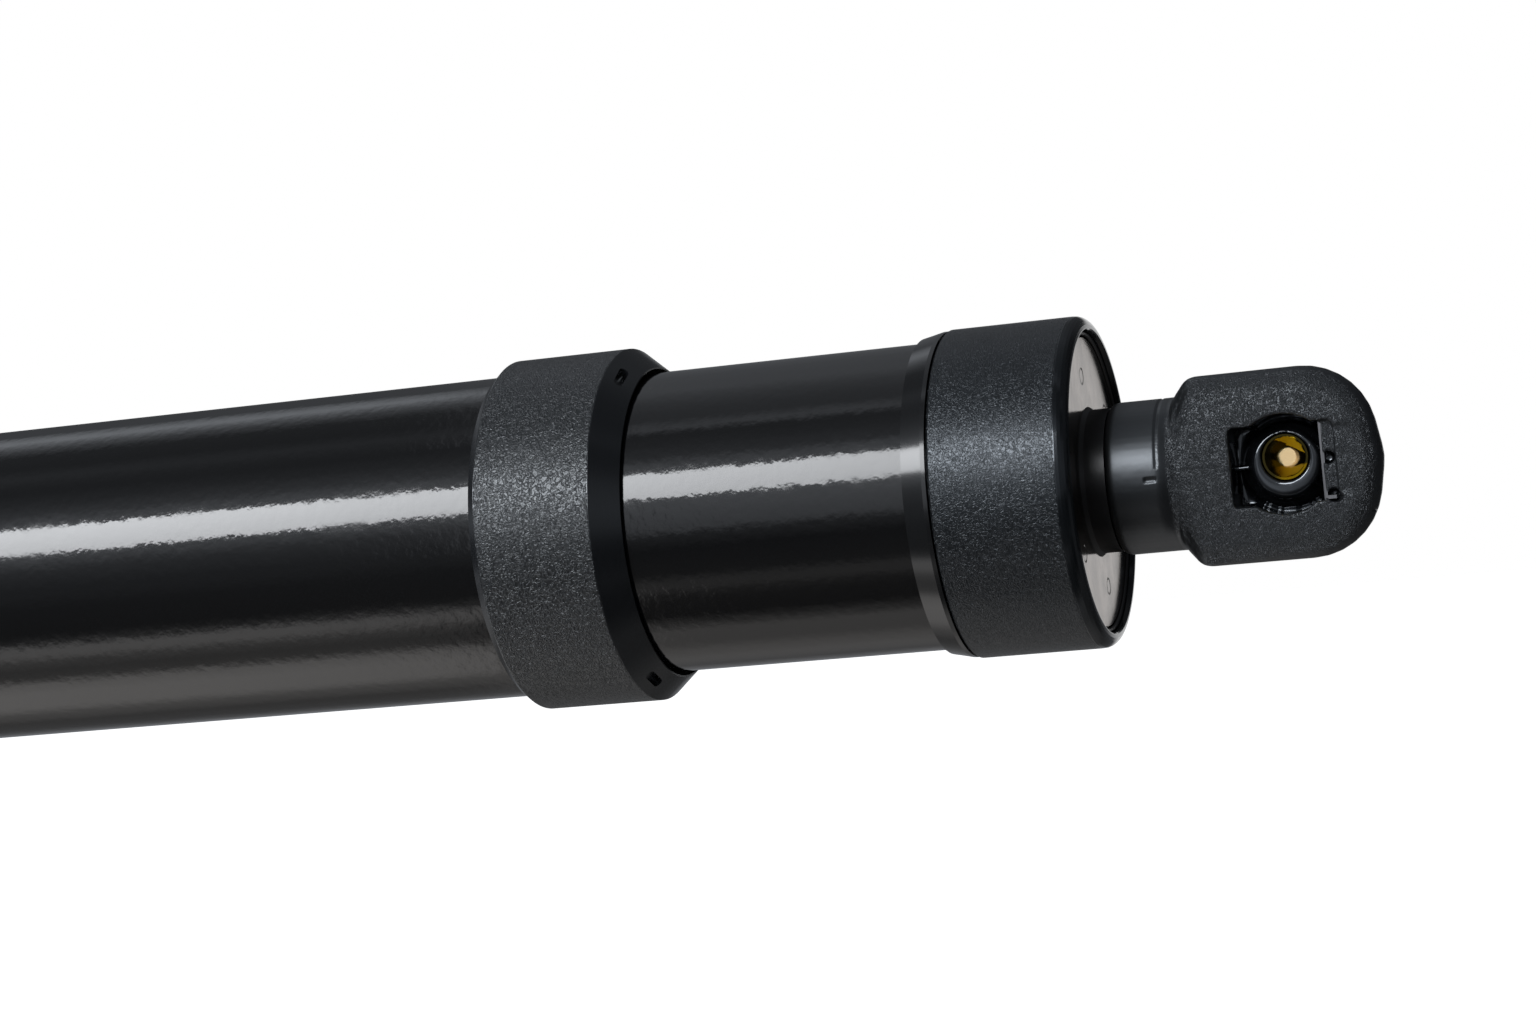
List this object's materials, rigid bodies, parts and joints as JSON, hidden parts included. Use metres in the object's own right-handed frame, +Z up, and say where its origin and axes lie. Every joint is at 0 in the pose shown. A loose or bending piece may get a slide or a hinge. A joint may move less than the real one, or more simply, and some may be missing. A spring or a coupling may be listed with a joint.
{
  "type": "power liftgate strut",
  "caption": "Telescoping power liftgate strut with a ball socket at each end; a motor, planetary gears, brake and spindle in the outer tube drive the sprung inner tube.",
  "frame": {"origin": "ball centre of the drive end's socket", "axes": "+X along the strut to the rod end, +Y out of the sockets' mouths, +Z up; the sockets' windows face -Y"},
  "size_m": [0.5426, 0.044, 0.0442],
  "materials": {
    "tube_paint": "gloss black paint",
    "grained_plastic": "coarse leather grain, satin",
    "socket_plastic": "fine grain, satin",
    "gloss_ring": "gloss black",
    "seal_rubber": "matt black rubber",
    "slide_plastic": "brown PTFE-filled plastic",
    "plate_metal": "plated, satin",
    "plug_alloy": "die-cast",
    "stud_steel": "turned, zinc plated",
    "liner_metal": "yellow passivated",
    "clip_steel": "spring steel",
    "can_steel": "drawn, zinc plated",
    "bell_plastic": "moulded",
    "magnet": "sintered",
    "brush_carbon": "pressed carbon",
    "copper": "drawn copper",
    "wound_core": "laminated steel and enamelled wire",
    "gear_case": "phosphated steel",
    "gear_brass": "hobbed brass",
    "gear_steel": "hardened, ground",
    "brake_lining": "pressed friction lining",
    "bearing_steel": "ground bearing steel",
    "cage_brass": "pressed brass",
    "nut_plastic": "acetal",
    "spring_steel": "oil-hardened wire, flocked dark"
  },
  "bodies": {
    "drive_side": {"outer_tube": "tube_paint", "guide_collar": "grained_plastic", "wiper_seal": "seal_rubber", "guide_bush": "slide_plastic", "drive_end_plug": "plug_alloy", "drive_end_cap": "grained_plastic", "drive_end_plate": "plate_metal", "drive_o_ring": "seal_rubber", "drive_neck_seal": "seal_rubber", "cable_gland": "seal_rubber", "drive_stud": "stud_steel", "drive_socket": "socket_plastic", "drive_seat_liner": "liner_metal", "drive_clip": "clip_steel", "motor_can": "can_steel", "motor_end_bell": "bell_plastic", "motor_magnets": "magnet", "motor_brushes": "brush_carbon", "motor_mounts": "seal_rubber", "ring_gear": "gear_case", "brake_housing": "gear_case", "bearing_housing": "plug_alloy", "bearing_outer_ring": "bearing_steel", "guide_tube": "can_steel", "drive_spring_seat": "bell_plastic", "compression_spring": "spring_steel"},
    "armature": {"armature_shaft": "stud_steel", "armature_core": "wound_core", "commutator": "copper", "sun_gear": "gear_brass"},
    "first_stage": {"first_carrier": "gear_steel"},
    "spindle_set": {"second_carrier": "gear_steel", "brake_disc": "brake_lining", "shaft_coupling": "gear_steel", "spindle": "stud_steel", "bearing_inner_ring": "bearing_steel", "spindle_end_ring": "nut_plastic"},
    "bearing_cage_set": {"bearing_cage": "cage_brass", "bearing_ball_set": "bearing_steel"},
    "rod_side": {"inner_tube": "tube_paint", "slide_ring": "slide_plastic", "spindle_nut": "nut_plastic", "push_tube": "can_steel", "rod_spring_seat": "bell_plastic", "rod_end_plug": "plug_alloy", "rod_bevel_ring": "gloss_ring", "rod_end_cap": "grained_plastic", "rod_end_plate": "plate_metal", "rod_o_ring": "seal_rubber", "rod_neck_seal": "seal_rubber", "rod_stud": "stud_steel", "rod_socket": "socket_plastic", "rod_seat_liner": "liner_metal", "rod_clip": "clip_steel"},
    "first_planet_a_body": {"first_planet_a": "gear_steel"},
    "first_planet_b_body": {"first_planet_b": "gear_steel"},
    "first_planet_c_body": {"first_planet_c": "gear_steel"},
    "second_planet_a_body": {"second_planet_a": "gear_steel"},
    "second_planet_b_body": {"second_planet_b": "gear_steel"},
    "second_planet_c_body": {"second_planet_c": "gear_steel"}
  },
  "joints": [
    {"name": "motor_turn", "type": "hinge", "parent": "drive_side", "child": "armature", "pos_m": [0.08, 0, 0], "axis": [1, 0, 0], "range_deg": [-10800, 59400]},
    {"name": "extension", "type": "slide", "parent": "drive_side", "child": "rod_side", "axis": [1, 0, 0], "range_m": [-0.03, 0.165], "deforming": ["compression_spring"]},
    {"name": "first_carrier_turn", "type": "hinge", "parent": "drive_side", "child": "first_stage", "pos_m": [0.1337, 0, 0], "axis": [1, 0, 0], "range_deg": [-2700, 14850]},
    {"name": "spindle_turn", "type": "hinge", "parent": "drive_side", "child": "spindle_set", "pos_m": [0.2, 0, 0], "axis": [1, 0, 0], "range_deg": [-675, 3712.5]},
    {"name": "bearing_cage_turn", "type": "hinge", "parent": "drive_side", "child": "bearing_cage_set", "pos_m": [0.1995, 0, 0], "axis": [1, 0, 0], "range_deg": [-249.75, 1373.62]},
    {"name": "first_planet_a_turn", "type": "hinge", "parent": "first_stage", "child": "first_planet_a_body", "pos_m": [0.128, 0.0084, 0], "axis": [1, 0, 0], "range_deg": [-44550, 8100]},
    {"name": "first_planet_b_turn", "type": "hinge", "parent": "first_stage", "child": "first_planet_b_body", "pos_m": [0.128, -0.0042, 0.00727], "axis": [1, 0, 0], "range_deg": [-44550, 8100]},
    {"name": "first_planet_c_turn", "type": "hinge", "parent": "first_stage", "child": "first_planet_c_body", "pos_m": [0.128, -0.0042, -0.00727], "axis": [1, 0, 0], "range_deg": [-44550, 8100]},
    {"name": "second_planet_a_turn", "type": "hinge", "parent": "spindle_set", "child": "second_planet_a_body", "pos_m": [0.1395, 0.0084, 0], "axis": [1, 0, 0], "range_deg": [-11137.5, 2025]},
    {"name": "second_planet_b_turn", "type": "hinge", "parent": "spindle_set", "child": "second_planet_b_body", "pos_m": [0.1395, -0.0042, 0.00727], "axis": [1, 0, 0], "range_deg": [-11137.5, 2025]},
    {"name": "second_planet_c_turn", "type": "hinge", "parent": "spindle_set", "child": "second_planet_c_body", "pos_m": [0.1395, -0.0042, -0.00727], "axis": [1, 0, 0], "range_deg": [-11137.5, 2025]}
  ],
  "couplings": [
    {"joint": "motor_turn", "follows": "extension", "rad_per_m": 6283.2},
    {"joint": "first_carrier_turn", "follows": "extension", "rad_per_m": 1570.8},
    {"joint": "spindle_turn", "follows": "extension", "rad_per_m": 392.7},
    {"joint": "bearing_cage_turn", "follows": "extension", "rad_per_m": 145.3},
    {"joint": "first_planet_a_turn", "follows": "extension", "rad_per_m": -4712.4},
    {"joint": "first_planet_b_turn", "follows": "extension", "rad_per_m": -4712.4},
    {"joint": "first_planet_c_turn", "follows": "extension", "rad_per_m": -4712.4},
    {"joint": "second_planet_a_turn", "follows": "extension", "rad_per_m": -1178.1},
    {"joint": "second_planet_b_turn", "follows": "extension", "rad_per_m": -1178.1},
    {"joint": "second_planet_c_turn", "follows": "extension", "rad_per_m": -1178.1}
  ]
}
